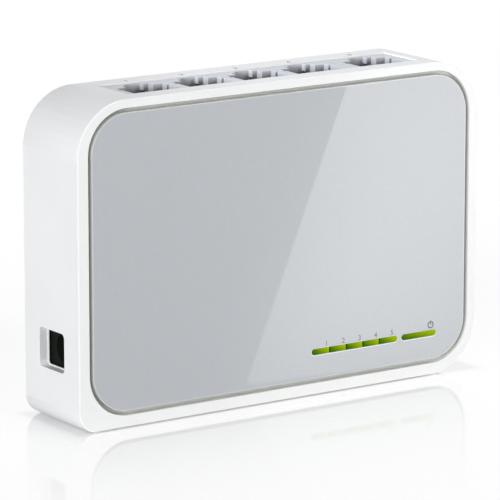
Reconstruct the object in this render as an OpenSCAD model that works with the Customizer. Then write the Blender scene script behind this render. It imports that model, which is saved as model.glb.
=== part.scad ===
// Five-port desktop network switch, standing on its long lower edge.
// X runs along the width, Y from the front panel to the back, Z up. The origin is below the middle.

/* [Case] */
// Width of the case
body_w = 103.5; // [100:0.5:120]
// Depth from the rim to the feet
body_d = 22; // [21.5:0.5:26]
// Height of the case
body_h = 70; // [68:0.5:80]
// Radius of the three wide corners of the case
corner_r = 12; // [10:0.5:13]
// Radius of the tighter corner below the power socket
corner_r_tight = 4.5; // [4:0.5:10]
// Length of the two pads that the base stands on
pad_len = 5; // [4:0.5:8]
// Height of the hollow between the pads
base_rise = 0.2; // [0.1:0.05:0.4]
// Thickness of the case walls
wall = 2; // [1.7:0.1:2.4]
// Width of the rim round the front panel
rim_w = 2.25; // [2:0.05:3]
// Height of the front panel's middle above the middle of the case
panel_up = 0.35; // [0:0.05:0.5]
// Shift of the front panel towards the right end of the case
panel_side = 0.3; // [0:0.05:0.5]
// Depth of the pocket that holds the front panel
pocket_d = 1.8; // [1.6:0.1:2.2]
// Thickness of the wall behind the front panel
pocket_floor = 1.4; // [1:0.1:1.8]
// Radius of the screw posts
post_r = 3; // [2.4:0.1:3.4]
// Distance of the screw posts from the end faces
post_in_x = 8.75; // [8:0.25:10]
// Height of the lower screw posts above the base
post_low = 8; // [7:0.25:8.5]
// Distance of the upper screw posts from the top
post_high = 10; // [8:0.5:13]

/* [Front panel] */
// Thickness of the front panel
panel_t = 1.5; // [1.2:0.1:1.6]
// Radius of the front panel's corners
panel_r = 8.6; // [6:0.2:9]
// Width of the groove between the rim and the panel
groove_w = 0.95; // [0.5:0.05:1.2]
// Thickness of the adhesive sheet
tape_t = 0.2; // [0.1:0.05:0.3]
// Margin of the adhesive sheet inside the panel's edge
tape_margin = 2; // [1:0.5:4]

/* [Status lights] */
// Height of the light bars above the base
light_z = 9.4; // [9:0.1:12]
// Height of a light window
light_h = 1.2; // [1:0.1:1.4]
// Width of the white line round and between the windows
light_line = 0.25; // [0.2:0.05:0.45]
// Distance of the light bars from the right end of the case
lights_in = 10.45; // [9.85:0.05:15.25]
// Length of the port light bar
port_bar_len = 23.4; // [23:0.1:25]
// Distance between the dividers of the port light bar
light_pitch = 4.45; // [4.2:0.05:4.6]
// Space between the two light bars
bar_space = 0.8; // [0.4:0.1:1]
// Length of the power light bar
power_bar_len = 9.75; // [8:0.25:10.5]
// Width of a light guide finger
guide_w = 2.4; // [1.8:0.1:2.8]
// Thickness of the light guide's cross bar
guide_bar_t = 1.4; // [1:0.1:2]
// Clearance between the light guide and its slots
guide_gap = 0.15; // [0.1:0.05:0.3]
// Distance between the lights on the board and the guide
led_gap = 0.4; // [0.2:0.1:0.8]

/* [Ports] */
// Part of the width that the row of ports leaves free
row_space = 19.5; // [17.1:0.1:20.7]
// Extra distance between port 4 and port 5
block_space = 2.45; // [2.4:0.05:3.5]
// Sideways shift of the row of ports
port_shift = 1.15; // [-1:0.05:1.2]
// Width of a port's cavity
cavity_w = 11.7; // [11.6:0.05:11.9]
// Depth of a port's cavity
cavity_len = 12.5; // [12:0.1:13.5]
// Space between the front wall and the port housings
jack_clear = 1.4; // [1.2:0.1:1.5]
// Width of the wide latch notch
notch_w = 6.9; // [6.2:0.1:7.2]
// Depth of the wide latch notch
notch_d = 1.8; // [1.6:0.1:2]
// Width of the narrow latch notch
latch_w = 4.3; // [3.6:0.1:4.6]
// Depth of the narrow latch notch
latch_d = 1.3; // [1.2:0.1:1.5]
// Thickness of the catch that a plug's latch snaps behind
catch_t = 1.5; // [1.3:0.1:2]
// Thickness of a port housing on the board side
jack_floor = 0.5; // [0.4:0.1:0.8]
// Thickness of a port housing on the panel side
jack_roof = 1.4; // [1.3:0.1:1.6]
// Length of the port housings
jack_len = 15.5; // [15:0.5:18]
// Depth of the ports' face below the top of the case
jack_recess = 0.3; // [0.1:0.1:1]
// Gap between the two port housings
block_gap = 0.3; // [0.2:0.1:0.5]
// Gap between the port housings and the window in the case
window_gap = 0.25; // [0.2:0.05:0.5]
// Width of the grooves in a cavity's side walls
side_groove_w = 0.8; // [0.5:0.1:1.2]

/* [Port contacts] */
// Number of contact wires in a port
wires = 8; // [4:2:8]
// Distance between contact wires
wire_pitch = 1.02; // [1:0.01:1.1]
// Radius of a contact wire
wire_r = 0.22; // [0.18:0.01:0.26]
// Length of a contact wire's free part
wire_len = 8.2; // [7.5:0.1:8.6]
// Slope of the contact wires into the cavity
wire_slope = 15; // [13:0.5:16]
// Depth of the wire pocket in the housing's panel side
pocket_in = 0.9; // [0.8:0.05:1]
// Distance of the wires' bend from the mouth
bend_in = 2.8; // [2.6:0.1:3.2]
// Height of the insert bar that holds the wires
insert_len = 1; // [0.8:0.1:1.2]
// Clearance round the contact wires
wire_gap = 0.2; // [0.15:0.05:0.3]
// Radius of a solder pin
pin_r = 0.25; // [0.2:0.01:0.3]
// Radius of a solder pin's hole
pin_hole_r = 0.45; // [0.4:0.01:0.5]
// Distance of the first row of pins from a housing's rear
pin_up = 1.6; // [1:0.1:2]
// Distance between the two rows of pins
pin_rows = 2.54; // [2:0.02:2.6]
// Radius of a housing's locating peg
peg_r = 1.6; // [1.4:0.1:1.7]
// Distance of the pegs from a housing's rear
peg_up = 8.5; // [8:0.1:9]

/* [Power socket] */
// Height of the power socket's middle above the base
dc_z = 16.15; // [16:0.05:20]
// Depth of the socket's face behind the end of the case
dc_recess = 2.7; // [2.2:0.05:3]
// Height of the opening in the case
dc_open_h = 8.5; // [8:0.1:8.8]
// Depth of the opening in the case
dc_open_d = 9.7; // [9:0.1:10.4]
// Radius of the opening's corners
dc_open_r = 1; // [0.5:0.1:1.5]
// Shift of the opening from the socket's middle, towards the front
dc_open_shift = 0.35; // [0:0.05:0.4]
// Width of the lip at the opening's inner end
dc_lip = 0.25; // [0.1:0.05:0.4]
// Width of the collar round the opening, inside the case
dc_collar = 1.2; // [0.8:0.1:1.6]
// Length of the socket
dc_len = 14.2; // [13.5:0.1:15]
// Width of the socket along the height of the case
dc_w = 9; // [8.8:0.1:9.4]
// Height of the socket above the board
dc_h = 11; // [10.8:0.1:11.5]
// Height of the bore above the board
dc_axis = 6.5; // [6.2:0.1:6.6]
// Radius of the bore
dc_bore_r = 3.15; // [3:0.05:3.25]
// Depth of the bore
dc_bore_len = 10.5; // [10:0.1:11]
// Radius of the centre pin
dc_pin_r = 1; // [0.8:0.05:1.25]
// Length of the centre pin
dc_pin_len = 9.5; // [8.5:0.1:9.8]
// Thickness of the side contact
leaf_t = 0.4; // [0.3:0.05:0.5]
// Width of the side contact
leaf_w = 2; // [1.6:0.1:2.2]
// Length of the side contact
leaf_len = 9.4; // [8.5:0.1:9.8]
// Clearance round the side contact
leaf_gap = 0.3; // [0.2:0.05:0.4]
// Width of a solder tab
tab_w = 2.2; // [1.8:0.1:2.6]
// Thickness of a solder tab
tab_t = 0.5; // [0.4:0.1:0.8]

/* [Board] */
// Thickness of the circuit board
board_t = 1.6; // [1.2:0.1:1.6]
// Gap between the board and the case walls
board_gap = 2.75; // [2.4:0.05:3]
// Radius of the board's corners
board_r = 6; // [5:0.5:7]
// Space behind the board
board_back = 1.2; // [1.1:0.1:1.4]
// Side of the switch chip's package
chip_w = 14; // [10:1:16]
// Thickness of the switch chip
chip_t = 1.4; // [1:0.1:2]
// Legs on each side of the switch chip
chip_legs = 16; // [8:2:24]
// Space between neighbouring line transformers
coil_space = 1.6; // [1.2:0.2:4]
// Height of a line transformer along the board
coil_h = 7; // [6:0.5:8]
// Thickness of a line transformer
coil_t = 5.6; // [4:0.2:6.4]
// Radius of an electrolytic capacitor
can_r = 3.15; // [2.5:0.05:3.5]
// Height of an electrolytic capacitor
can_h = 7; // [5:0.5:8]
// Distance between the electrolytic capacitors
can_pitch = 9; // [7.5:0.5:11]
// Space between the port housings and the transformers
coil_gap = 2; // [1:0.5:3]
// Space between the transformers and the switch chip
chip_gap = 6.5; // [5.5:0.5:8]
// Sideways place of the switch chip
chip_x = 3; // [-4:0.5:6]
// Space between parts that stand side by side
part_gap = 4; // [2:0.5:5]

/* [Back] */
// Thickness of the back cover
cover_t = 2; // [1.8:0.1:2.4]
// Radius of the back cover's screw bosses
boss_r = 3.4; // [3.2:0.1:3.8]
// Clearance between the back cover and the case
cover_gap = 0.15; // [0.1:0.05:0.3]
// Width of the ledge that carries the back cover
ledge_w = 1; // [0.8:0.1:1.2]
// Radius of a foot
foot_r = 4.5; // [4:0.1:5]
// Thickness of a foot
foot_t = 1.6; // [1.4:0.1:1.8]
// How far a foot stands out of the back
foot_stand = 0.6; // [0.4:0.1:0.8]
// Clearance round a foot
foot_gap = 0.1; // [0.05:0.05:0.2]
// Radius of a screw's shank
screw_r = 1.3; // [1:0.05:1.4]
// Length of a screw's shank
screw_len = 10; // [8:0.5:12]
// Radius of a screw's head
head_r = 2.5; // [2.2:0.1:2.7]
// Height of a screw's head
head_t = 1.4; // [1.2:0.1:1.6]
// Length of the cross in a screw's head
cross_len = 3; // [2.4:0.1:3.4]
// Width of the cross in a screw's head
cross_w = 0.6; // [0.4:0.1:0.8]
// Depth of the cross in a screw's head
cross_d = 0.8; // [0.5:0.1:0.9]
// Clearance round a screw
screw_gap = 0.05; // [0.02:0.01:0.1]
// Width of a vent slot
vent_w = 1.6; // [1.2:0.1:2]
// Length of a vent slot
vent_len = 16; // [10:1:20]
// Distance between vent slots
vent_pitch = 4; // [3.5:0.1:4.5]
// Number of vent slots in a row
vents = 11; // [5:2:13]
// Distance between the two rows of vent slots
vent_rows = 24; // [21:1:26]

/* [Hidden] */
$fn = 48;
eps = 0.01;
through = 1;
ports = 5;
quad_ports = 4;

// Depths, from the front to the back
front_y = -body_d / 2;
back_y = body_d / 2 - foot_stand;
pocket_y = front_y + pocket_d;
inside_y = pocket_y + pocket_floor;
panel_back_y = pocket_y - tape_t;
panel_y = panel_back_y - panel_t;
cover_y = back_y - cover_t;
board_back_y = cover_y - board_back;
board_y = board_back_y - board_t;
floor_y = board_y - jack_floor;
latch_y = floor_y - latch_d;
notch_y = latch_y - notch_d;
jack_y = inside_y + jack_clear;
roof_y = jack_y + jack_roof;

// Ends of the base, and how its pads narrow inwards
base_x0 = corner_r_tight - body_w / 2;
base_x1 = body_w / 2 - corner_r;
pad_taper = 1.3;
pad_start = 1.5;
pad_run = pad_len + 2 * pad_start;

// Panel, rim and screw places
pocket_r = panel_r + groove_w;
panel_in = rim_w + groove_w;
post_x = body_w / 2 - post_in_x;
posts = [for (x = [-post_x, post_x], z = [post_low, body_h - post_high]) [x, z]];

// Status lights
light_full_h = light_h + 2 * light_line;
power_bar_end = body_w / 2 - lights_in;
power_bar_x = power_bar_end - power_bar_len;
port_bar_end = power_bar_x - bar_space;
port_bar_x = port_bar_end - port_bar_len;
end_len = (port_bar_len - (ports - 2) * light_pitch) / 2;
function divider_x(i) = port_bar_x + end_len + (i - 1) * light_pitch;
function window_x(i) = i == 0 ? (port_bar_x + light_line + divider_x(1)) / 2
    : i == ports - 1 ? (divider_x(ports - 1) + port_bar_end - light_line) / 2
    : (divider_x(i) + divider_x(i + 1)) / 2;
power_x = (power_bar_x + power_bar_end) / 2;
light_xs = concat([for (i = [0:ports - 1]) window_x(i)], [power_x]);
led_size = [1.6, 0.8, 0.8];
guide_bar_h = 3.2;

// Ports, shared out over the width
port_pitch = (body_w - row_space) / (ports + 1);
port_gap = port_pitch + block_space;
side_groove_d = (port_pitch - cavity_w) / 4;
mouth_z = body_h - jack_recess;
jack_z = mouth_z - jack_len;
cavity_z = mouth_z - cavity_len;
port_x0 = port_shift - ((quad_ports - 1) * port_pitch + port_gap) / 2;
function port_x(i) = port_x0 + min(i, quad_ports - 1) * port_pitch + (i < quad_ports ? 0 : port_gap);
jack_side = (port_gap - block_gap) / 2;
jacks_x0 = port_x(0) - jack_side;
jacks_x1 = port_x(ports - 1) + jack_side;
wire_y = roof_y - pocket_in / 2;
wire_z = mouth_z - bend_in;
wire_row = (wires - 1) * wire_pitch;
wire_pocket_w = wire_row + 2 * (wire_r + wire_gap);
pocket_top_z = wire_z + wire_r + wire_gap + insert_len;
peg_in = 0.75;
peg_x = jack_side - peg_r - peg_in;
peg_xs = [for (ends = [[0, quad_ports - 1], [quad_ports, ports - 1]], side = [0, 1])
    port_x(ends[side]) + (side == 0 ? -peg_x : peg_x)];
peg_z = jack_z + peg_up;
peg_gap = 0.1;
pin_row_z = [jack_z + pin_up, jack_z + pin_up + pin_rows];
pin_out = 0.9;

// Power socket
dc_x = -body_w / 2 + dc_recess;
dc_end_x = dc_x + dc_len;
dc_y = board_y - dc_axis;
dc_top_y = board_y - dc_h;
dc_open_y = board_y - dc_h / 2 - dc_open_shift;
collar_gap = 0.45;
collar_x = max(dc_x - collar_gap, wall - body_w / 2);
bore_end_x = dc_x + dc_bore_len;
leaf_dip = 0.1;
leaf_bump_r = 0.5;
leaf_y = dc_y - dc_bore_r + leaf_dip - leaf_t;
leaf_in = 1;
leaf_end_x = dc_end_x - leaf_in;
leaf_bump_in = 1.4;
tab_out = 0.9;
tab_gap = 0.15;
tab_in = 1;
tab_pitch = 6;
tab_x = dc_end_x - tab_in;
side_tab_z = dc_z + dc_w / 2 - tab_in;
tabs = [[tab_x, dc_z], [tab_x - tab_pitch, dc_z], [tab_x - tab_pitch / 2, side_tab_z]];

// Board layout
board_in = wall + board_gap;
board_x = body_w / 2 - board_in;
board_z1 = body_h - board_in;
coil_w = port_pitch - coil_space;
coil_z = jack_z - coil_gap - coil_h / 2;
chip_z = coil_z - coil_h / 2 - chip_gap - chip_w / 2;
chip_leg = [0.22, 0.2, 1];
crystal_size = [11, 3.6, 4.6];
crystal_x = chip_x + chip_w / 2 + chip_leg[2] + part_gap + crystal_size[0] / 2;
regulator_size = [6.5, 1.7, 3.6];
inductor_size = [7.3, 4, 7.3];
inductor_x = part_gap / 2 + inductor_size[0] / 2 - board_x;
inductor_z = dc_z + dc_w / 2 + part_gap + inductor_size[2] / 2;
diode_size = [4.5, 2.2, 2.6];
chip_res_size = [1.6, 0.45, 0.8];
chip_res_pitch = 2.4;
chip_res_row = 4;
chip_res_gap = 1.6;
chip_cap_size = [2, 0.9, 1.25];
chip_cap_pitch = 3.2;
can_x = dc_end_x + part_gap / 2 + can_r;
can_z = [dc_z - can_pitch / 2, dc_z + can_pitch / 2];
supply_x = can_x + can_r + part_gap + regulator_size[0] / 2;

// Plate between two depths, from an outline in X and Z
module slab(y0, y1) {
    translate([0, y1, 0]) rotate([90, 0, 0]) linear_extrude(y1 - y0) children();
}

// Plate between two places across the width, from an outline in Y and Z
module slab_x(x0, x1) {
    translate([x0, 0, 0]) rotate([90, 0, 90]) linear_extrude(x1 - x0) children();
}

// Box between two corners
module block(a, b) {
    translate(a) cube(b - a);
}

// Round bar along Y
module bar_y(x, z, y0, y1, r) {
    translate([x, y1, z]) rotate([90, 0, 0]) cylinder(h = y1 - y0, r = r);
}

// Round bar along X
module bar_x(y, z, x0, x1, r) {
    translate([x0, y, z]) rotate([0, 90, 0]) cylinder(h = x1 - x0, r = r);
}

// Rectangle with round corners, radii from the lower left, anticlockwise
module round_rect(a, b, r) {
    polygon([
        [a[0] + r[0], a[1]], [b[0] - r[1], a[1]], [b[0], a[1] + r[1]], [b[0], b[1] - r[2]],
        [b[0] - r[2], b[1]], [a[0] + r[3], b[1]], [a[0], b[1] - r[3]], [a[0], a[1] + r[0]]
    ]);
    translate([a[0] + r[0], a[1] + r[0]]) circle(r[0]);
    translate([b[0] - r[1], a[1] + r[1]]) circle(r[1]);
    translate([b[0] - r[2], b[1] - r[2]]) circle(r[2]);
    translate([a[0] + r[3], b[1] - r[3]]) circle(r[3]);
}

// Outline of the case, drawn in from its edge
module case_outline(inset) {
    wide = corner_r - inset;
    round_rect(
        [-body_w / 2 + inset, inset], [body_w / 2 - inset, body_h - inset],
        [max(corner_r_tight - inset, wall), wide, wide, wide]);
}

// Outline of the front panel or its pocket
module panel_outline(inset, r) {
    round_rect(
        [panel_side - body_w / 2 + inset, panel_up + inset],
        [panel_side + body_w / 2 - inset, panel_up + body_h - inset],
        [r, r, r, r]);
}

// Bar with round ends
module stadium(x0, x1, h) {
    translate([x0 + h / 2, light_z - h / 2]) square([x1 - x0 - h, h]);
    for (x = [x0 + h / 2, x1 - h / 2])
        translate([x, light_z]) circle(h / 2);
}

// Both light bars with their white lines
module light_bars() {
    stadium(port_bar_x, port_bar_end, light_full_h);
    stadium(power_bar_x, power_bar_end, light_full_h);
}

// Window of one port's light
module port_window(i) {
    x0 = i == 0 ? port_bar_x : divider_x(i) + light_line / 2;
    x1 = i == ports - 1 ? port_bar_end : divider_x(i + 1) - light_line / 2;
    intersection() {
        stadium(port_bar_x + light_line, port_bar_end - light_line, light_h);
        translate([x0, light_z - light_full_h]) square([x1 - x0, 2 * light_full_h]);
    }
}

// Window of the power light
module power_window() {
    stadium(power_bar_x + light_line, power_bar_end - light_line, light_h);
}

// Outline of the power opening, grown by a margin
module power_opening(grow) {
    r = dc_open_r + grow;
    round_rect(
        [dc_open_y - dc_open_d / 2 - grow, dc_z - dc_open_h / 2 - grow],
        [dc_open_y + dc_open_d / 2 + grow, dc_z + dc_open_h / 2 + grow],
        [r, r, r, r]);
}

// Hollow under the base, between a pad at each end
module base_hollow() {
    translate([0, 0, -through]) linear_extrude(base_rise + through) polygon([
        [base_x0 - pad_run, front_y - pad_taper], [base_x0 + pad_len, front_y + pad_taper],
        [base_x0 + pad_len, back_y - pad_taper], [base_x0 - pad_run, back_y + pad_taper],
        [base_x1 + pad_run, back_y + pad_taper], [base_x1 - pad_len, back_y - pad_taper],
        [base_x1 - pad_len, front_y + pad_taper], [base_x1 + pad_run, front_y - pad_taper]
    ]);
}

// White case with its rim, posts, base pads, port window, power opening and collar, and light slots
module case_shell() {
    color("white") difference() {
        union() {
            difference() {
                slab(front_y, back_y) case_outline(0);
                slab(inside_y, back_y + through) case_outline(wall);
            }
            for (p = posts)
                bar_y(p[0], p[1], inside_y - eps, board_y, post_r);
            slab_x(wall - body_w / 2 - eps, collar_x) power_opening(dc_collar);
        }
        base_hollow();
        slab(cover_y, back_y + through) case_outline(wall - ledge_w);
        slab(front_y - through, pocket_y) panel_outline(rim_w, pocket_r);
        for (p = posts)
            bar_y(p[0], p[1], board_back_y - screw_len, board_y + through, screw_r + screw_gap);
        block(
            [jacks_x0 - window_gap, jack_y - window_gap, body_h - 2 * wall],
            [jacks_x1 + window_gap, board_y + window_gap, body_h + through]);
        slab_x(-body_w / 2 - through, wall - body_w / 2) power_opening(0);
        slab_x(-body_w / 2, collar_x + through) power_opening(-dc_lip);
        for (x = light_xs)
            block(
                [x - guide_w / 2 - guide_gap, pocket_y - through, light_z - light_h / 2 - guide_gap],
                [x + guide_w / 2 + guide_gap, inside_y + through, light_z + light_h / 2 + guide_gap]);
    }
}

// Grey front panel with openings for the light bars
module face_panel() {
    color("silver") slab(panel_y, panel_back_y) difference() {
        panel_outline(panel_in, panel_r);
        light_bars();
    }
}

// Adhesive sheet that holds the front panel
module panel_tape() {
    color("ivory") slab(panel_back_y, pocket_y) difference() {
        panel_outline(panel_in + tape_margin, panel_r - tape_margin);
        light_bars();
    }
}

// Green windows of the port lights
module port_light_windows() {
    color("yellowgreen") for (i = [0:ports - 1])
        slab(panel_y, panel_back_y) port_window(i);
}

// Green window of the power light
module power_light_window() {
    color("yellowgreen") slab(panel_y, panel_back_y) power_window();
}

// White borders and dividers of the light bars
module light_frames() {
    color("white") slab(panel_y, panel_back_y) difference() {
        light_bars();
        for (i = [0:ports - 1])
            port_window(i);
        power_window();
    }
}

// Clear fingers from the lights on the board to the windows, on one cross bar
module light_guide() {
    end_y = board_y - led_size[1] - led_gap;
    color("lightcyan") union() {
        block(
            [light_xs[0] - guide_w, inside_y, light_z - guide_bar_h / 2],
            [power_x + guide_w / 2, inside_y + guide_bar_t, light_z + guide_bar_h / 2]);
        for (x = light_xs)
            block(
                [x - guide_w / 2, pocket_y, light_z - light_h / 2],
                [x + guide_w / 2, end_y, light_z + light_h / 2]);
    }
}

// White back cover with bosses, foot recesses and vent slots
module back_cover() {
    recess_y = back_y - (foot_t - foot_stand);
    seat_y = recess_y - head_t - screw_gap;
    color("whitesmoke") difference() {
        union() {
            slab(cover_y, back_y) case_outline(wall - ledge_w + cover_gap);
            for (p = posts)
                bar_y(p[0], p[1], board_back_y, cover_y + eps, boss_r);
        }
        for (p = posts) {
            bar_y(p[0], p[1], recess_y, back_y + through, foot_r + foot_gap);
            bar_y(p[0], p[1], seat_y, recess_y + eps, head_r + screw_gap);
            bar_y(p[0], p[1], board_back_y - through, seat_y + eps, screw_r + screw_gap);
        }
        for (i = [0:vents - 1], side = [-1, 1])
            translate([
                (i - (vents - 1) / 2) * vent_pitch, (cover_y + back_y) / 2, (body_h + side * vent_rows) / 2])
                cube([vent_w, 2 * cover_t, vent_len], center = true);
    }
}

// Rubber feet over the screws
module rubber_feet() {
    color("dimgray") for (p = posts)
        bar_y(p[0], p[1], back_y + foot_stand - foot_t, back_y + foot_stand, foot_r);
}

// Screws through the cover and the board into the case posts
module case_screws() {
    head_y = back_y - (foot_t - foot_stand) - head_t - screw_gap;
    color("silver") for (p = posts) difference() {
        union() {
            bar_y(p[0], p[1], head_y, head_y + head_t, head_r);
            bar_y(p[0], p[1], board_back_y - screw_len + screw_gap, head_y + eps, screw_r);
        }
        for (turn = [0, 90])
            translate([p[0], head_y + head_t, p[1]]) rotate([0, turn, 0])
                cube([cross_len, 2 * cross_d, cross_w], center = true);
    }
}

// Board with holes for screws, pegs, pins and tabs
module circuit_board() {
    color("darkgreen") difference() {
        slab(board_y, board_back_y) round_rect(
            [-board_x, board_in], [board_x, board_z1], [board_r / 2, board_r, board_r, board_r]);
        for (p = posts)
            bar_y(p[0], p[1], board_y - through, board_back_y + through, screw_r + 2 * screw_gap);
        for (x = peg_xs)
            bar_y(x, peg_z, board_y - through, board_back_y + through, peg_r + peg_gap);
        for (i = [0:ports - 1], k = [0:wires - 1])
            bar_y(pin_x(i, k), pin_row_z[k % 2], board_y - through, board_back_y + through, pin_hole_r);
        for (t = tabs)
            translate([t[0], board_y, t[1]])
                cube([tab_t + 2 * tab_gap, 4 * board_t, tab_w + 2 * tab_gap], center = true);
    }
}

// Place of a solder pin across the width
function pin_x(i, k) = port_x(i) - wire_row / 2 + k * wire_pitch;

// One port's cavity with its latch notch and catch, side grooves and wire pocket
module port_cavity(i) {
    top = mouth_z + through;
    translate([port_x(i), 0, 0]) {
        block([-cavity_w / 2, roof_y, cavity_z], [cavity_w / 2, notch_y, top]);
        block([-notch_w / 2, notch_y - eps, cavity_z], [notch_w / 2, latch_y, top]);
        block([-latch_w / 2, latch_y - eps, cavity_z], [latch_w / 2, floor_y, top]);
        block([-notch_w / 2, latch_y - eps, cavity_z], [notch_w / 2, floor_y, mouth_z - catch_t]);
        block(
            [-cavity_w / 2 - side_groove_d, notch_y - 3 * side_groove_w, cavity_z],
            [cavity_w / 2 + side_groove_d, notch_y - 2 * side_groove_w, top]);
        block(
            [-wire_pocket_w / 2, roof_y - pocket_in, cavity_z],
            [wire_pocket_w / 2, roof_y + eps, pocket_top_z]);
    }
}

// Moulded housing of a run of ports, with locating pegs
module jack_block(first, last) {
    difference() {
        union() {
            block([port_x(first) - jack_side, jack_y, jack_z], [port_x(last) + jack_side, board_y, mouth_z]);
            for (x = [port_x(first) - peg_x, port_x(last) + peg_x])
                bar_y(x, peg_z, board_y - eps, board_back_y, peg_r);
        }
        for (i = [first:last])
            port_cavity(i);
    }
}

// Housing of ports 1 to 4
module jack_block_quad() {
    color("gainsboro") jack_block(0, quad_ports - 1);
}

// Housing of port 5
module jack_block_single() {
    color("gainsboro") jack_block(quad_ports, ports - 1);
}

// Sprung wires of one port, sloping into the cavity from their bend near the mouth
module port_contacts(i) {
    color("gold") for (k = [0:wires - 1])
        translate([pin_x(i, k), wire_y, wire_z]) rotate([wire_slope, 0, 0])
            translate([0, 0, -wire_len]) cylinder(h = wire_len, r = wire_r, $fn = 16);
}

// Bars that hold the wires at their bend
module contact_inserts() {
    color("dimgray") for (i = [0:ports - 1])
        block(
            [port_x(i) - wire_pocket_w / 2, roof_y - pocket_in, pocket_top_z - insert_len],
            [port_x(i) + wire_pocket_w / 2, roof_y, pocket_top_z]);
}

// Pins of the housings through the board, in two rows
module jack_solder_pins() {
    color("silver") for (i = [0:ports - 1], k = [0:wires - 1])
        bar_y(pin_x(i, k), pin_row_z[k % 2], board_y, board_back_y + pin_out, pin_r, $fn = 16);
}

// Black power socket with its bore and the side contact's slot
module dc_jack_body() {
    slot_w = leaf_w + 2 * leaf_gap;
    color("black") difference() {
        block([dc_x, dc_top_y, dc_z - dc_w / 2], [dc_end_x, board_y, dc_z + dc_w / 2]);
        bar_x(dc_y, dc_z, dc_x - through, bore_end_x, dc_bore_r);
        block(
            [leaf_end_x - leaf_len - leaf_bump_r, dc_top_y - through, dc_z - slot_w / 2],
            [leaf_end_x + leaf_gap, leaf_y + leaf_t + leaf_gap, dc_z + slot_w / 2]);
    }
}

// Centre pin with a round tip
module dc_center_pin() {
    tip_x = bore_end_x - dc_pin_len + dc_pin_r;
    color("silver") union() {
        bar_x(dc_y, dc_z, tip_x, bore_end_x, dc_pin_r);
        translate([tip_x, dc_y, dc_z]) sphere(dc_pin_r);
    }
}

// Sprung side contact, with a bump that presses on the plug
module dc_leaf() {
    color("gold") union() {
        block(
            [leaf_end_x - leaf_len, leaf_y, dc_z - leaf_w / 2],
            [leaf_end_x, leaf_y + leaf_t, dc_z + leaf_w / 2]);
        translate([leaf_end_x - leaf_len + leaf_bump_in, leaf_y + leaf_t / 2, dc_z - leaf_w / 2])
            cylinder(h = leaf_w, r = leaf_bump_r);
    }
}

// Solder tabs of the power socket
module dc_terminals() {
    color("silver") for (t = tabs)
        block(
            [t[0] - tab_t / 2, board_y, t[1] - tab_w / 2],
            [t[0] + tab_t / 2, board_back_y + tab_out, t[1] + tab_w / 2]);
}

// Part of a given size on the board's front
module on_board(x, z, size) {
    translate([x - size[0] / 2, board_y - size[1], z - size[2] / 2]) cube(size);
}

// Light sources of the ports
module port_leds() {
    color("palegreen") for (i = [0:ports - 1])
        on_board(window_x(i), light_z, led_size);
}

// Light source of the power light
module power_led() {
    color("palegreen") on_board(power_x, light_z, led_size);
}

// Flat square chip with legs on four sides
module switch_chip() {
    leg_pitch = (chip_w - 2 * chip_leg[2]) / (chip_legs - 1);
    color("black") translate([chip_x, board_y - chip_t, chip_z]) union() {
        translate([-chip_w / 2, 0, -chip_w / 2]) cube([chip_w, chip_t, chip_w]);
        for (turn = [0:90:270], k = [0:chip_legs - 1])
            rotate([0, turn, 0]) translate([
                (k - (chip_legs - 1) / 2) * leg_pitch - chip_leg[0] / 2,
                chip_t - chip_leg[1], chip_w / 2 - eps])
                cube(chip_leg);
    }
}

// Timing crystal in a flat can
module crystal() {
    color("silver") on_board(crystal_x, chip_z, crystal_size);
}

// Line transformers, one below each port
module line_transformers() {
    color("black") for (i = [0:ports - 1])
        on_board(port_x(i), coil_z, [coil_w, coil_t, coil_h]);
}

// Regulator of the chip's supply
module voltage_regulator() {
    color("black") on_board(supply_x, can_z[1], regulator_size);
}

// Coil of the supply
module power_inductor() {
    color("dimgray") on_board(inductor_x, inductor_z, inductor_size);
}

// Diode behind the power socket
module protection_diode() {
    color("black") on_board(supply_x, can_z[0], diode_size);
}

// Round capacitors of the supply
module electrolytic_capacitors() {
    color("lightgray") for (z = can_z)
        bar_y(can_x, z, board_y - can_h, board_y, can_r);
}

// Small capacitors in a row above the chip
module chip_capacitors() {
    color("tan") for (i = [0:ports - 1], side = [-1, 1])
        on_board(chip_x + (i - (ports - 1) / 2) * chip_cap_pitch,
            chip_z + side * (chip_w / 2 + chip_leg[2] + chip_cap_size[2]), chip_cap_size);
}

// Small resistors, one above each light and four below each transformer
module chip_resistors() {
    color("black") {
        for (x = light_xs)
            on_board(x, light_z + led_size[2] + chip_res_gap, chip_res_size);
        for (i = [0:ports - 1], k = [0:chip_res_row - 1])
            on_board(port_x(i) + (k - (chip_res_row - 1) / 2) * chip_res_pitch,
                coil_z - coil_h / 2 - chip_res_gap, chip_res_size);
    }
}

case_shell();
face_panel();
panel_tape();
port_light_windows();
power_light_window();
light_frames();
light_guide();
back_cover();
rubber_feet();
case_screws();
circuit_board();
jack_block_quad();
jack_block_single();
port_contacts(0);  // port_1_contacts
port_contacts(1);  // port_2_contacts
port_contacts(2);  // port_3_contacts
port_contacts(3);  // port_4_contacts
port_contacts(4);  // port_5_contacts
contact_inserts();
jack_solder_pins();
dc_jack_body();
dc_center_pin();
dc_leaf();
dc_terminals();
port_leds();
power_led();
switch_chip();
crystal();
line_transformers();
voltage_regulator();
power_inductor();
protection_diode();
electrolytic_capacitors();
chip_capacitors();
chip_resistors();
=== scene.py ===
"""Finishes, prints and studio for a five-port desktop network switch, in metres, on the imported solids."""
import math

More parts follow.
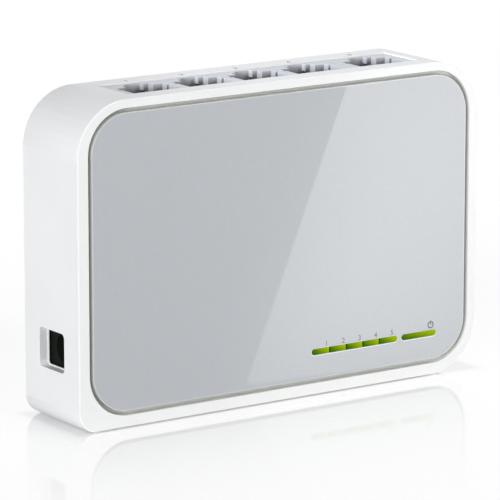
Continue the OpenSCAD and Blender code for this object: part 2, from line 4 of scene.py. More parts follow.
import bpy
import numpy as np
from mathutils import Matrix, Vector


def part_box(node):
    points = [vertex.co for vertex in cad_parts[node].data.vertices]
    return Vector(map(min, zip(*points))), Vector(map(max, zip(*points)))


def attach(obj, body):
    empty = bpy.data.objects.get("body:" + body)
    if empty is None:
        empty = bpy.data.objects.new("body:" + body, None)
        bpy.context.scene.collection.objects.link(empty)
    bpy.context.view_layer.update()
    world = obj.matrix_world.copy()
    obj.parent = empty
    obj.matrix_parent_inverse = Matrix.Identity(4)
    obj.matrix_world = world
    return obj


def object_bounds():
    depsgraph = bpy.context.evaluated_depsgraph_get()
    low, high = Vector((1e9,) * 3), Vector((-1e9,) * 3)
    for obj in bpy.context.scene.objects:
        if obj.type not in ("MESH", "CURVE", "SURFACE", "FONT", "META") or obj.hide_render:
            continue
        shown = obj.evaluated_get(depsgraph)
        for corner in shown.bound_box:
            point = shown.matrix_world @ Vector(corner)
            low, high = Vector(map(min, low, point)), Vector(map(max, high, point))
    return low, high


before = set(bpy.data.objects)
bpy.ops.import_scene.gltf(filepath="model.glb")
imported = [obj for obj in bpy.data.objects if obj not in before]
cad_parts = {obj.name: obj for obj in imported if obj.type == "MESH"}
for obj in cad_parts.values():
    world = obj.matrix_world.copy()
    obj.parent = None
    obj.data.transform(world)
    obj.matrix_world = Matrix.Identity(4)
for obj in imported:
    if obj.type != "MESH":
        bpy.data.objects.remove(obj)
cad_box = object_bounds()


# Case
# The case is one injection moulding in white ABS with the fine satin skin of a polished tool.
# Its edges keep the small radii of the tool. A highlight is painted pale along the front left edge, and
# painted shade, a little yellower, darkens the groove round the front panel.

mm = 0.001


class Socket:
    """An output of a shader node. Arithmetic on it adds Math nodes to the same tree."""

    def __init__(self, tree, out):
        self.tree, self.out = tree, out

    def node(self, kind, settings=None, inputs=None, output=0):
        """Adds a node: its settings are set first, then the values or links of its sockets."""
        made = self.tree.nodes.new(kind)
        for name, value in (settings or {}).items():
            setattr(made, name, value)
        for name, value in (inputs or {}).items():
            if isinstance(value, Socket):
                self.tree.links.new(value.out, made.inputs[name])
            else:
                made.inputs[name].default_value = value
        return Socket(self.tree, made.outputs[output])

    def math(self, operation, *others):
        return self.node("ShaderNodeMath", {"operation": operation}, dict(enumerate((self,) + others)))

    def __add__(self, other):
        return self.math("ADD", other)

    def __sub__(self, other):
        return self.math("SUBTRACT", other)

    def __rsub__(self, other):
        return self.math("MULTIPLY_ADD", -1.0, other)

    def __mul__(self, other):
        return self.math("MULTIPLY", other)

    def __truediv__(self, other):
        return self.math("DIVIDE", other)

    def __abs__(self):
        return self.math("ABSOLUTE")

    __radd__, __rmul__ = __add__, __mul__

    def rise(self, low, high):
        """0 below low, 1 above high, and a smooth step between."""
        return self.node("ShaderNodeMapRange", {"interpolation_type": "SMOOTHSTEP"},
                         {"Value": self, "From Min": low, "From Max": high})

    def mix(self, first, second):
        """The colour first where this value is 0, and second where it is 1."""
        return self.node("ShaderNodeMix", {"data_type": "RGBA"}, {0: self, 6: first, 7: second}, 2)

    def axis(self, name):
        """One coordinate of a vector, by its letter."""
        return self.node("ShaderNodeSeparateXYZ", None, {0: self}, "XYZ".index(name))


def new_finish(name):
    """A fresh material, its shader, and a Socket with the Object coordinates."""
    material = bpy.data.materials.new(name)
    material.use_nodes = True
    tree = material.node_tree
    place = Socket(tree, tree.nodes.new("ShaderNodeTexCoord").outputs["Object"])
    return material, tree.nodes["Principled BSDF"], place


def set_finish(shader, **sockets):
    """Puts values or links on the shader's sockets, named with _ for a space."""
    for name, value in sockets.items():
        socket = shader.inputs[name.replace("_", " ")]
        if isinstance(value, Socket):
            value.tree.links.new(value.out, socket)
        else:
            socket.default_value = value


def grain(place, size, detail=2.0):
    """Noise from 0 to 1 whose lumps have about the given size in metres."""
    return place.node("ShaderNodeTexNoise", None, {"Vector": place, "Scale": 1.0 / size, "Detail": detail})


def relief(height, depth):
    """A Normal from a height of 0 to 1 that stands for a depth in metres."""
    return height.node("ShaderNodeBump", None, {"Height": height, "Distance": depth})


def dress(material, *nodes):
    """Gives CAD nodes this material alone."""
    for name in nodes:
        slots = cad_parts[name].data.materials
        slots.clear()
        slots.append(material)


def soften(width, *nodes, weld=0.002 * mm):
    """Joins the triangles of CAD nodes within a weld distance and rounds their sharp edges to a width."""
    for name in nodes:
        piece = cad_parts[name]
        piece.modifiers.new("join", "WELD").merge_threshold = weld
        edges = piece.modifiers.new("edges", "BEVEL")
        edges.width = width
        edges.segments = 3
        edges.limit_method = "ANGLE"
        edges.angle_limit = math.radians(40)
        edges.harden_normals = True


def past_outline(place, node, radius):
    """How far a place lies outside the round-cornered outline of a CAD node in X and Z, negative inside:
    the length of what goes past the corners' centres on both axes, less the corners' radius."""
    low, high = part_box(node)
    past_x, past_z = ((abs(place.axis(axis) - (low[k] + high[k]) / 2) - (high[k] - low[k]) / 2 + radius)
                      .math("MAXIMUM", 0.0) for axis, k in (("X", 0), ("Z", 2)))
    return (past_x * past_x + past_z * past_z).math("SQRT") - radius


white = (0.850, 0.855, 0.858, 1.0)
white_shade = (0.830, 0.836, 0.841, 1.0)
groove_painted_shade = (0.71, 0.72, 0.69, 1.0)
painted_highlight_white = (0.945, 0.945, 0.94, 1.0)
panel_r = 8.6 * mm
groove_outside = (0.98 * mm, 1.05 * mm)
groove_mouth = (0.15 * mm, 0.5 * mm)
groove_floor = (1.9 * mm, 2.0 * mm)
corner_r, corner_r_tight = 12 * mm, 4.5 * mm
corner_change = (30 * mm, 40 * mm)
highlight_w = 0.3 * mm
highlight_end = (-44 * mm, -40 * mm)
white_plastic, shader, place = new_finish("white_plastic")
cloud = grain(place, 14 * mm)
skin = grain(place, 0.12 * mm)
depth = place.axis("Y") - cad_box[0][1]
# Painted shade, a little yellower, darkens the groove between the rim and the panel.
groove_shade_mask = ((1 - past_outline(place, "face_panel", panel_r).rise(*groove_outside))
          * depth.rise(*groove_mouth) * (1 - depth.rise(*groove_floor)))
upper = place.axis("Z").rise(*corner_change)
past_case = (upper * past_outline(place, "case_shell", corner_r)
             + (1 - upper) * past_outline(place, "case_shell", corner_r_tight))
# A pale highlight is painted along the front left edge and round its two corners.
painted_edge_highlight = (past_case.rise(-highlight_w, -0.7 * highlight_w) * (1 - depth.rise(0.7 * highlight_w, highlight_w))
          * (1 - place.axis("X").rise(*highlight_end)))
plain_white = (0.7 * cloud + 0.3 * skin).rise(0.35, 0.65).mix(white_shade, white)
set_finish(shader,
           Base_Color=painted_edge_highlight.mix(groove_shade_mask.mix(plain_white, groove_painted_shade), painted_highlight_white),
           Roughness=0.24 + 0.1 * skin + 0.04 * cloud,
           Normal=relief(skin, 0.0012 * mm))
dress(white_plastic, "case_shell")
soften(0.25 * mm, "case_shell", weld=0.03 * mm)


# Port numbers on the case
# Small figures are pad printed in dark grey ink on the strip behind the ports, one over each port.
# The ink lies on the white skin as a film of a few thousandths of a millimetre, worn thin in spots.

ink_grey = (0.060, 0.062, 0.066, 1.0)
ink_worn = (0.110, 0.112, 0.116, 1.0)
print_ink, shader, place = new_finish("print_ink")
dots = grain(place, 0.08 * mm)
set_finish(shader,
           Base_Color=dots.rise(0.4, 0.75).mix(ink_grey, ink_worn),
           Roughness=0.5 + 0.2 * dots)


def figure_points(text, height, weight):
    """The flat mesh of a printed figure, scaled to a height and centred on the origin: points and faces."""
    curve = bpy.data.curves.new("figure", "FONT")
    curve.body = text
    curve.align_x = "CENTER"
    curve.offset = weight
    maker = bpy.data.objects.new("figure", curve)
    bpy.context.scene.collection.objects.link(maker)
    flat = maker.to_mesh()
    points = np.empty(3 * len(flat.vertices))
    flat.vertices.foreach_get("co", points)
    points = points.reshape(-1, 3)[:, :2]
    faces = [tuple(face.vertices) for face in flat.polygons]
    maker.to_mesh_clear()
    bpy.data.objects.remove(maker)
    points[:, 1] -= (points[:, 1].min() + points[:, 1].max()) / 2
    return points * height / np.ptp(points[:, 1]), faces


def add_piece(name, points, faces, material, body="switch"):
    """A mesh piece at the origin from whole arrays, with one material, on a CAD body."""
    mesh = bpy.data.meshes.new(name)
    mesh.from_pydata(points.tolist(), [], faces)
    mesh.materials.append(material)
    piece = bpy.data.objects.new(name, mesh)
    bpy.context.scene.collection.objects.link(piece)
    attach(piece, body)


ink_lift = 0.006 * mm
number_y = 7.2 * mm
number_h = 1.35 * mm
number_weight = 0.025
top_z = cad_box[1][2]
port_box = [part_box(f"port_{n}_contacts") for n in range(1, 6)]
port_x = [(low[0] + high[0]) / 2 for low, high in port_box]
for n, x in enumerate(port_x, 1):
    flat, faces = figure_points(str(n), number_h, number_weight)
    placed = np.column_stack([x + flat[:, 0], number_y + flat[:, 1], np.full(len(flat), top_z + ink_lift)])
    add_piece(f"port_number_{n}", placed, faces, print_ink)


# Front panel
# The front panel is a grey moulded plate under a clear gloss lacquer, stuck into the case's pocket.
# The grey has a faint speckle below the lacquer. A highlight is painted pale along its narrow bevelled
# edge, and its side is raw and yellower.

grey = (0.436, 0.454, 0.482, 1.0)
grey_shade = (0.412, 0.429, 0.457, 1.0)
grey_painted_highlight = (0.54, 0.56, 0.57, 1.0)
grey_side = (0.50, 0.51, 0.46, 1.0)
edge_w = 0.25 * mm
panel_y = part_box("face_panel")[0][1]
grey_panel, shader, place = new_finish("grey_panel")
speck = grain(place, 0.3 * mm, 1.0)
drift = grain(place, 25 * mm)
# A pale highlight is painted along the panel's bevelled edge.
edge = past_outline(place, "face_panel", panel_r).rise(-1.2 * edge_w, -0.8 * edge_w)
side = (place.axis("Y") - panel_y).rise(edge_w, 2 * edge_w)
face = edge.mix((0.8 * speck + 0.2 * drift).rise(0.3, 0.7).mix(grey_shade, grey), grey_painted_highlight)
set_finish(shader,
           Base_Color=side.mix(face, grey_side),
           Roughness=0.45 + 0.1 * speck,
           Coat_Weight=1.0, Coat_Roughness=0.03)
dress(grey_panel, "face_panel")
soften(0.2 * mm, "face_panel")


# Adhesive sheet
# A thin ivory foam tape, die cut to the panel with holes for the lights, lies behind the panel.
# The glue on its two faces holds the panel in the case's pocket.


def grained_finish(name, size, dark, pale, rough, depth=None, detail=2.0, **sockets):
    """A finish whose grain of one size carries its colour from dark to pale, its roughness over a range
    and, where a depth is given, its relief. Other sockets are set as they are named."""
    material, shader, place = new_finish(name)
    lumps = grain(place, size, detail)
    set_finish(shader,
               Base_Color=lumps.rise(0.3, 0.7).mix(dark, pale),
               Roughness=rough[0] + (rough[1] - rough[0]) * lumps, **sockets)
    if depth:
        set_finish(shader, Normal=relief(lumps, depth))
    return material


tape = grained_finish("tape", size=0.4 * mm, dark=(0.62, 0.59, 0.50, 1.0), pale=(0.72, 0.69, 0.61, 1.0),
                      rough=(0.8, 0.9), depth=0.02 * mm)
dress(tape, "panel_tape")


# Light bars
# Two clear green mouldings are set in the panel, and a clear guide behind them brings the board's light.
# A white line runs round each bar, and the green shows through it along the top. Dark lines part the
# ports' windows.

light_z = (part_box("light_frames")[0][2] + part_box("light_frames")[1][2]) / 2
light_pitch = 4.45 * mm
first_divider = 12.375 * mm
divider_half = 0.22 * mm
bar_r = 0.68 * mm
bar_up = 0.1 * mm
bar_blur = 0.03 * mm
streaks_per_m = (400.0, 400.0, 2600.0)
lit_upwards, lit_streaks, lit_start = 0.25, 0.25, 0.1
green_painted_shade = (0.040, 0.140, 0.0003, 1.0)
green_painted_light = (0.325, 0.432, 0.002, 1.0)
green_gap = (0.016, 0.065, 0.001, 1.0)
line_pale = (0.84, 0.85, 0.88, 1.0)
line_shade = (0.80, 0.81, 0.85, 1.0)
bar_cells = {"port_light_windows": (first_divider, light_pitch, -1.0, 4.0),
             "power_light_window": (31.55 * mm, 9.75 * mm, 0.0, 1.0)}
bar_ends = {"port_light_windows": (7.5 * mm, 30.65 * mm),
            "power_light_window": (31.7 * mm, 41.2 * mm)}


def bar_green(place, start, length, first, last):
    """The green along a bar, by cells from first to last, with painted light: darker on the left of a cell
    and painted paler on its right and top, with fine streaks, and a dark line between two cells. Gives the
    colour and the streaks."""
    cell = (place.axis("X") - start) / length
    along = cell.math("MAXIMUM", first).math("MINIMUM", last - 0.001).math("FRACT")
    across = (place.axis("Z") - light_z) / bar_r
    drawn_out = place.node("ShaderNodeMapping", None, {"Vector": place, "Scale": streaks_per_m})
    streak = grain(drawn_out, 1.0)
    lit = along + lit_upwards * across + lit_streaks * (streak - 0.5) - lit_start
    from_gap = abs((cell + 0.5).math("FRACT") - 0.5) * length
    gap = ((1 - from_gap.rise(0.8 * divider_half, divider_half))
           * cell.rise(first + 0.5, first + 0.51) * (1 - cell.rise(last - 0.51, last - 0.5)))
    return gap.mix(lit.mix(green_painted_shade, green_painted_light), green_gap), streak


def outside_bar(place, low, high):
    """How far a place lies outside the round-ended green from low to high along X, negative inside."""
    past = (abs(place.axis("X") - (low + high) / 2) - (high - low) / 2 + bar_r).math("MAXIMUM", 0.0)
    up = place.axis("Z") - (light_z + bar_up)
    return (past * past + up * up).math("SQRT") - bar_r


for name, cells in bar_cells.items():
    green_window, shader, place = new_finish(name)
    green, streak = bar_green(place, *cells)
    # The windows also glow faintly in their own green: a painted glow, as no lamp lights them from behind.
    set_finish(shader, Base_Color=green, Roughness=0.3 + 0.1 * streak, Specular_IOR_Level=0.01,
               Emission_Color=green, Emission_Strength=0.1)
    dress(green_window, name)

line_white, shader, place = new_finish("line_white")
film = grain(place, 0.1 * mm)
colour = film.rise(0.3, 0.7).mix(line_pale, line_shade)
for name, ends in bar_ends.items():
    green, streak = bar_green(place, *bar_cells[name])
    colour = outside_bar(place, *ends).rise(-bar_blur, bar_blur).mix(green, colour)
set_finish(shader, Base_Color=colour, Roughness=0.3 + 0.15 * film, Specular_IOR_Level=0.01)
dress(line_white, "light_frames")

clear_plastic = grained_finish("clear_plastic", size=3 * mm, dark=(0.86, 0.92, 0.92, 1.0),
                               pale=(0.92, 0.96, 0.95, 1.0), rough=(0.05, 0.15),
                               Transmission_Weight=0.9, IOR=1.49)
dress(clear_plastic, "light_guide")


# Panel print
# The figures of the port lights and the power sign stand above the light bars.
# They are screen printed on the lacquer in the same dark grey ink as the port numbers.

print_y = panel_y - ink_lift
figure_x = np.array([11.5, 16.0, 20.35, 24.7, 29.1]) * mm
figure_z = 11.05 * mm
figure_h = 1.15 * mm
for n, x in enumerate(figure_x, 1):
    flat, faces = figure_points(str(n), figure_h, 0.0)
    placed = np.column_stack([x + flat[:, 0], np.full(len(flat), print_y), figure_z + flat[:, 1]])
    add_piece(f"light_number_{n}", placed, faces, print_ink)


def strip(centre, left, right):
    """A flat strip of the sign, its points and faces: a grid between a left and a right edge, both given
    as n by 2 arrays from the centre."""
    flat = centre + np.stack([left, right], 1).reshape(-1, 2)
    k = 2 * np.arange(len(left) - 1)
    return flat, np.column_stack([k, k + 1, k + 3, k + 2])


sign_r, sign_line = 0.70 * mm, 0.25 * mm
sign_centre = np.array([39.7, 11.35]) * mm
ring_gap, ring_points = 20, 33
bar_z = np.array([0.05, 0.98]) * mm
turn = np.radians(np.linspace(90 + ring_gap, 450 - ring_gap, ring_points))
ring = np.column_stack([np.cos(turn), np.sin(turn)])
arc, arc_faces = strip(sign_centre, ring * (sign_r + sign_line / 2), ring * (sign_r - sign_line / 2))
bar, bar_faces = strip(sign_centre, np.column_stack([np.full(2, sign_line / 2), bar_z]),
                       np.column_stack([np.full(2, -sign_line / 2), bar_z]))
flat = np.vstack([arc, bar])
faces = np.vstack([arc_faces, bar_faces + len(arc)])
add_piece("power_sign", np.column_stack([flat[:, 0], np.full(len(flat), print_y), flat[:, 1]]),
          faces.tolist(), print_ink)


# Port housings
# Five sockets in two light grey mouldings stand on the board, with the latch notch towards the back.
# Painted shade darkens their steps and cavities with depth, less on the upright walls of the steps.
# Eight gold plated wires spring into each socket from a dark insert, and tinned pins go to the board.

jack_light = (0.65, 0.675, 0.715, 1.0)
jack_shade = (0.61, 0.635, 0.675, 1.0)
jack_painted_shade = (0.10, 0.095, 0.085, 1.0)
port_pitch = port_x[1] - port_x[0]
mouth_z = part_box("jack_block_quad")[1][2]
mouth_y = -0.4 * mm
mouth_half_x = (6.45 * mm, 6.55 * mm)
mouth_half_y = (5.6 * mm, 5.65 * mm)
lip_depth = (0.03 * mm, 0.15 * mm)
step_depths = (-0.4 * mm, 3.1 * mm)
cavity_depths = (2.6 * mm, 7.0 * mm)
front_extra = 0.7 * mm
notch_y = (4.0 * mm, 4.8 * mm)
wall_x = np.array([2.15, 3.45, 5.85]) * mm
wall_half = (0.04 * mm, 0.09 * mm)
wall_shade_spared = 0.65
for name, centre in (("jack_block_quad", port_x[0]), ("jack_block_single", port_x[4])):
    jack_plastic, shader, place = new_finish(name)
    skin = grain(place, 0.15 * mm)
    flow = grain(place, 6 * mm)
    across = (((place.axis("X") - centre) / port_pitch + 0.5).math("FRACT") - 0.5) * port_pitch
    inside = ((1 - abs(across).rise(*mouth_half_x))
              * (1 - abs(place.axis("Y") - mouth_y).rise(*mouth_half_y)))
    # Painted shade: the steps and cavities go darker with depth, and the upright walls keep part of their
    # grey.
    depth = mouth_z - place.axis("Z")
    wall = sum(1 - abs(across - x).rise(*wall_half) for x in wall_x)
    step_depth = depth + front_extra * (1 - place.axis("Y").rise(*notch_y))
    step = depth.rise(*lip_depth) * step_depth.rise(*step_depths) * (1 - wall_shade_spared * wall)
    painted_cavity_shade = inside * step.math("MAXIMUM", depth.rise(*cavity_depths))
    plain_grey = (0.6 * flow + 0.4 * skin).rise(0.3, 0.7).mix(jack_shade, jack_light)
    set_finish(shader,
               Base_Color=painted_cavity_shade.mix(plain_grey, jack_painted_shade),
               Roughness=0.32 + 0.12 * skin,
               Normal=relief(skin, 0.002 * mm))
    dress(jack_plastic, name)
    soften(0.1 * mm, name)

contact_metal = grained_finish("contact_metal", size=0.3 * mm, dark=(0.72, 0.50, 0.20, 1.0),
                               pale=(0.83, 0.62, 0.30, 1.0), rough=(0.2, 0.35), Metallic=1.0)
dress(contact_metal, *[f"port_{n}_contacts" for n in range(1, 6)], "dc_leaf")

insert_plastic = grained_finish("insert_plastic", size=0.2 * mm, dark=(0.030, 0.031, 0.033, 1.0),
                                pale=(0.050, 0.051, 0.054, 1.0), rough=(0.45, 0.6))
dress(insert_plastic, "contact_inserts")

tinned_metal = grained_finish("tinned_metal", size=0.5 * mm, dark=(0.55, 0.55, 0.54, 1.0),
                              pale=(0.70, 0.70, 0.69, 1.0), rough=(0.25, 0.5), Metallic=1.0)
dress(tinned_metal, "jack_solder_pins", "dc_terminals", "dc_center_pin")


# Power socket
# A black moulded barrel socket stands behind the opening in the end of the case.
# Tinned terminals solder it to the board, and a plug goes over its centre pin.

black_plastic = grained_finish("black_plastic", size=0.18 * mm, dark=(0.005, 0.007, 0.005, 1.0),
                               pale=(0.010, 0.013, 0.010, 1.0), rough=(0.5, 0.7), depth=0.003 * mm,
                               Specular_IOR_Level=0.05)
dress(black_plastic, "dc_jack_body")
soften(0.12 * mm, "dc_jack_body")


# Circuit board
# The board is glass laminate under green solder mask, etched with copper lines that show paler.
# It is screwed to the case's posts together with the back cover.

mask_green = (0.012, 0.105, 0.040, 1.0)
mask_on_copper = (0.040, 0.230, 0.090, 1.0)
board_laminate, shader, place = new_finish("board_laminate")
upright = place.node("ShaderNodeMapping", None, {"Vector": place, "Rotation": (math.pi / 2, 0.0, 0.0)})
lines = upright.node("ShaderNodeTexBrick", {"offset": 0.5}, {
    "Vector": upright, "Scale": 1.0, "Brick Width": 4.2 * mm, "Row Height": 1.1 * mm,
    "Mortar Size": 0.12 * mm}, 1)
weave = grain(place, 0.5 * mm)
set_finish(shader,
           Base_Color=(lines * 0.8 + 0.2 * weave).mix(mask_green, mask_on_copper),
           Roughness=0.28 + 0.12 * weave,
           Normal=relief(lines, 0.03 * mm))
dress(board_laminate, "circuit_board")


# Board parts
# Chips, coils and regulators are moulded in black resin, the crystal and capacitors sit in metal cans,
# and the small resistors and capacitors are ceramic chips. All are soldered to the front of the board.

chip_half = 7.0 * mm
chip_leg_blur = 0.02 * mm
resin_black = (0.018, 0.018, 0.019, 1.0)
resin_pale = (0.032, 0.032, 0.033, 1.0)
leg_tin = (0.62, 0.62, 0.61, 1.0)
low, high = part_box("switch_chip")
chip_resin, shader, place = new_finish("chip_resin")
filler = grain(place, 0.15 * mm)
from_middle = abs(place.axis("X") - (low[0] + high[0]) / 2).math(
    "MAXIMUM", abs(place.axis("Z") - (low[2] + high[2]) / 2))
leg = from_middle.rise(chip_half, chip_half + chip_leg_blur)
set_finish(shader,
           Base_Color=leg.mix(filler.rise(0.3, 0.7).mix(resin_black, resin_pale), leg_tin), Metallic=leg,
           Roughness=0.5 + 0.2 * filler - 0.25 * leg,
           Normal=relief(filler, 0.006 * mm))
dress(chip_resin, "switch_chip")

moulded_resin = grained_finish("moulded_resin", size=0.2 * mm, dark=(0.020, 0.020, 0.021, 1.0),
                               pale=(0.038, 0.038, 0.039, 1.0), rough=(0.5, 0.7), depth=0.008 * mm)
dress(moulded_resin, "line_transformers", "voltage_regulator", "protection_diode", "chip_resistors")

ferrite = grained_finish("ferrite", size=0.25 * mm, detail=4.0, dark=(0.06, 0.06, 0.062, 1.0),
                         pale=(0.12, 0.12, 0.122, 1.0), rough=(0.65, 0.85), depth=0.02 * mm)
dress(ferrite, "power_inductor")

can_pale = (0.75, 0.76, 0.77, 1.0)
can_shade = (0.62, 0.63, 0.64, 1.0)
mark_black = (0.03, 0.03, 0.035, 1.0)
mark_start = (1.5 * mm, 1.55 * mm)
low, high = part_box("electrolytic_capacitors")
capacitor_can, shader, place = new_finish("capacitor_can")
spun = grain(place, 0.2 * mm)
mark = (place.axis("X") - (low[0] + high[0]) / 2).rise(*mark_start)
set_finish(shader,
           Base_Color=mark.mix(spun.rise(0.3, 0.7).mix(can_shade, can_pale), mark_black),
           Metallic=1 - mark, Roughness=0.25 + 0.15 * spun + 0.2 * mark)
dress(capacitor_can, "electrolytic_capacitors")

crystal_can = grained_finish("crystal_can", size=0.25 * mm, dark=(0.58, 0.58, 0.57, 1.0),
                             pale=(0.72, 0.72, 0.71, 1.0), rough=(0.22, 0.42), Metallic=1.0)
dress(crystal_can, "crystal")

ceramic = grained_finish("ceramic", size=0.3 * mm, dark=(0.40, 0.27, 0.16, 1.0),
                         pale=(0.55, 0.40, 0.26, 1.0), rough=(0.4, 0.55))
dress(ceramic, "chip_capacitors")

led_deep = (0.50, 0.66, 0.20, 1.0)
led_pale = (0.70, 0.82, 0.42, 1.0)
led_resin, shader, place = new_finish("led_resin")
haze = grain(place, 0.3 * mm)
tint = haze.rise(0.3, 0.7).mix(led_deep, led_pale)
set_finish(shader, Base_Color=tint, Roughness=0.15 + 0.15 * haze,
           Emission_Color=tint, Emission_Strength=0.6)
dress(led_resin, "port_leds", "power_led")


# Back cover, screws and feet
# The cover is moulded in the same white plastic with a matt spark-eroded face and cut vent slots.
# Four zinc plated screws hold it, and a grey rubber foot is stuck over each.

matt_plastic = grained_finish("matt_plastic", size=0.25 * mm, detail=3.0, dark=white_shade, pale=white,
                              rough=(0.45, 0.6), depth=0.012 * mm)
dress(matt_plastic, "back_cover")

screw_steel = grained_finish("screw_steel", size=0.4 * mm, dark=(0.55, 0.55, 0.53, 1.0),
                             pale=(0.70, 0.70, 0.66, 1.0), rough=(0.25, 0.45), Metallic=1.0)
dress(screw_steel, "case_screws")

foot_rubber = grained_finish("foot_rubber", size=0.2 * mm, detail=3.0, dark=(0.050, 0.050, 0.052, 1.0),
                             pale=(0.085, 0.085, 0.087, 1.0), rough=(0.75, 0.9), depth=0.015 * mm)
dress(foot_rubber, "rubber_feet")
soften(0.3 * mm, "rubber_feet")


# Studio
# A pale floor with a soft sheen lies in a white surround, and both look white from where they are seen.
# Soft lamps stand at the front right above, the left and the back, and a narrow one lights the ports.

fill = 0.36
fill_tint = (0.955, 0.985, 1.04, 1.0)
full_white = (1.0, 1.0, 1.0, 1.0)
world = bpy.data.worlds.new("studio")
world.use_nodes = True
bpy.context.scene.world = world


def seen_directly(tree):
    """1 for rays from the camera, from gloss or through clear pieces, and 0 for light that falls."""
    path = tree.nodes.new("ShaderNodeLightPath").outputs
    camera_ray, gloss, through = (Socket(tree, path[f"Is {kind} Ray"])
                                  for kind in ("Camera", "Glossy", "Transmission"))
    return camera_ray.math("MAXIMUM", gloss).math("MAXIMUM", through)


seen = seen_directly(world.node_tree)
strength = seen * (1 - fill) + fill
colour = seen.mix(fill_tint, full_white)
for value, name in ((strength, "Strength"), (colour, "Color")):
    world.node_tree.links.new(value.out, world.node_tree.nodes["Background"].inputs[name])

floor_half = 3.0
floor_drop = 0.02 * mm
floor_pale = (0.8, 0.8, 0.8, 1.0)
floor_shadow = (0.2, 0.2, 0.2, 1.0)
floor_open = (0.845, 0.845, 0.845, 1.0)
floor_painted_shadow = (0.645, 0.645, 0.645, 1.0)
contact_fade = 1.2 * mm
plain_start = (60 * mm, 160 * mm)
sheen_most, sheen_fade, sheen_rough = 0.46, 25 * mm, 0.07
floor_mesh = bpy.data.meshes.new("studio_floor")
floor_mesh.from_pydata([(x * floor_half, y * floor_half, -floor_drop) for x, y in
                        ((-1, -1), (1, -1), (1, 1), (-1, 1))], [], [(0, 1, 2, 3)])
studio_floor = bpy.data.objects.new("studio_floor", floor_mesh)
bpy.context.scene.collection.objects.link(studio_floor)

floor_finish, shader, place = new_finish("floor_finish")
tree = floor_finish.node_tree
seen = seen_directly(tree)
out_x = (abs(place.axis("X")) - cad_box[1][0]).math("MAXIMUM", 0.0)
out_y = (abs(place.axis("Y")) - cad_box[1][1]).math("MAXIMUM", 0.0)
away = (out_x * out_x + out_y * out_y).math("SQRT")
# A contact shadow is painted into the floor's glow, darkest right at the case's foot.
painted_contact_shadow = (away * (-1 / contact_fade)).math("EXPONENT")
sheen = sheen_most * (away * (-1 / sheen_fade)).math("EXPONENT")
pale = place.node("ShaderNodeBsdfDiffuse", None, {"Color": floor_pale})
shadow = place.node("ShaderNodeBsdfDiffuse", None, {"Color": floor_shadow})
glow = place.node("ShaderNodeEmission", None, {"Color": painted_contact_shadow.mix(floor_open, floor_painted_shadow)})
plain = place.node("ShaderNodeEmission", None, {"Strength": 1.0})
near = place.node("ShaderNodeAddShader", None, {0: shadow, 1: glow})
shown = place.node("ShaderNodeMixShader", None, {0: away.rise(*plain_start), 1: near, 2: plain})
ground = place.node("ShaderNodeMixShader", None, {0: seen, 1: pale, 2: shown})
gloss = place.node("ShaderNodeBsdfGlossy", None, {"Roughness": sheen_rough, "Color": full_white})
polished = place.node("ShaderNodeMixShader", None, {0: sheen * seen, 1: ground, 2: gloss})
tree.links.new(polished.out, tree.nodes["Material Output"].inputs["Surface"])
floor_mesh.materials.append(floor_finish)


def add_lamp(light, place, aim, power, glossy=True):
    """Puts a lamp at a place, turned to its aim, with or without its own reflection in the pieces."""
    light.energy = power
    lamp = bpy.data.objects.new(light.name, light)
    lamp.visible_glossy = glossy
    bpy.context.scene.collection.objects.link(lamp)
    back = np.subtract(place, aim)
    back /= np.linalg.norm(back)
    side = np.cross((0.0, 0.0, 1.0), back)
    side /= np.linalg.norm(side)
    turn = np.column_stack([side, np.cross(back, side), back, place])
    lamp.matrix_world = Matrix(np.vstack([turn, [0, 0, 0, 1]]))


middle = (0.0, 0.0, 0.035)
for name, place, size, power, tint in (
        ("key_lamp", (0.66, -0.78, 0.66), (0.27, 0.27), 5.1, (1.02, 1.0, 0.92)),
        ("left_lamp", (-1.60, -0.98, 0.30), (1.0, 0.36), 23.5, (1.0, 1.0, 1.0)),
        ("back_lamp", (0.9, 1.4, 0.25), (1.0, 0.4), 8.4, (1.0, 1.0, 1.0))):
    panel = bpy.data.lights.new(name, "AREA")
    panel.shape = "RECTANGLE"
    panel.size, panel.size_y = size
    panel.color = tint
    add_lamp(panel, place, middle, power, glossy=name != "back_lamp")
spot = bpy.data.lights.new("port_lamp", "SPOT")
spot.color = (0.95, 0.97, 1.08)
spot.spot_size = math.radians(4.4)
spot.spot_blend = 0.45
spot.shadow_soft_size = 0.008
add_lamp(spot, (-0.60, 0.0, 0.35), aim=(0.024, 0.0, 0.07), power=9.0)


# Camera
# A long lens looks down a little on the front left edge, level across and with no shift.
# Its place and focal length are those of the picture, which is 500 pixels a side.

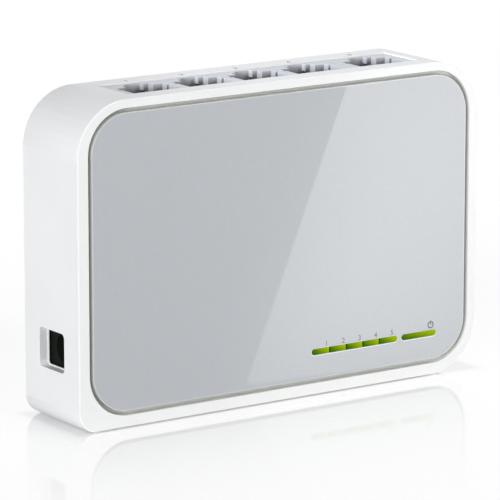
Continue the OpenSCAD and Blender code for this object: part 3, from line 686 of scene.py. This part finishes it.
photo_side = 500.0
focal_px = 3990.8
eye = np.array([-479.18, -692.98, 215.64]) * mm
right = np.array([0.82314, -0.56784, 0.0])
up = np.array([0.12145, 0.17605, 0.97686])
ahead = np.array([0.55470, 0.80409, -0.21388])
lens = bpy.data.cameras.new("photo_camera")
lens.sensor_width = 36.0
lens.lens = focal_px * lens.sensor_width / photo_side
lens.clip_end = 20.0
camera = bpy.data.objects.new("photo_camera", lens)
bpy.context.scene.collection.objects.link(camera)
camera.matrix_world = Matrix(np.vstack([np.column_stack([right, up, -ahead, eye]), [0, 0, 0, 1]]))
bpy.context.scene.camera = camera


# Reflection card
# A pale card stands out of view in front of the panel, and only its reflection in the gloss is seen.
# Its corners lie on mirrored rays through four points of the picture, some way out from the panel.

card_px = np.array([[246.0, 385.0], [480.0, 352.0], [495.0, 40.0], [359.0, 50.0]])
card_away = np.array([14.0, 14.0, 60.0, 60.0]) * mm
card_strength = 4.75
card_low = (0.474, 0.474, 0.474, 1.0)
card_height = 110 * mm
rays = (focal_px * ahead + np.outer(card_px[:, 0] - photo_side / 2, right)
        + np.outer(photo_side / 2 - card_px[:, 1], up))
rays /= np.linalg.norm(rays, axis=1)[:, None]
on_panel = eye + rays * ((panel_y - eye[1]) / rays[:, 1])[:, None]
card_points = on_panel + card_away[:, None] * rays * (1.0, -1.0, 1.0)
card_mesh = bpy.data.meshes.new("gloss_card")
card_mesh.from_pydata(card_points.tolist(), [], [(3, 2, 1, 0)])
gloss_card = bpy.data.objects.new("gloss_card", card_mesh)
bpy.context.scene.collection.objects.link(gloss_card)
for ray in ("camera", "diffuse", "transmission", "volume_scatter", "shadow"):
    setattr(gloss_card, f"visible_{ray}", False)
card_finish, shader, place = new_finish("card_finish")
tree = card_finish.node_tree
behind = Socket(tree, tree.nodes.new("ShaderNodeNewGeometry").outputs["Backfacing"])
bright = place.node("ShaderNodeEmission", None, {
    "Strength": card_strength, "Color": (place.axis("Z") / card_height).mix(card_low, full_white)})
clear = place.node("ShaderNodeBsdfTransparent")
one_side = place.node("ShaderNodeMixShader", None, {0: behind, 1: bright, 2: clear})
tree.links.new(one_side.out, tree.nodes["Material Output"].inputs["Surface"])
card_mesh.materials.append(card_finish)


# Colours
# Colours are shown as they are written.

bpy.context.scene.view_settings.view_transform = "Standard"
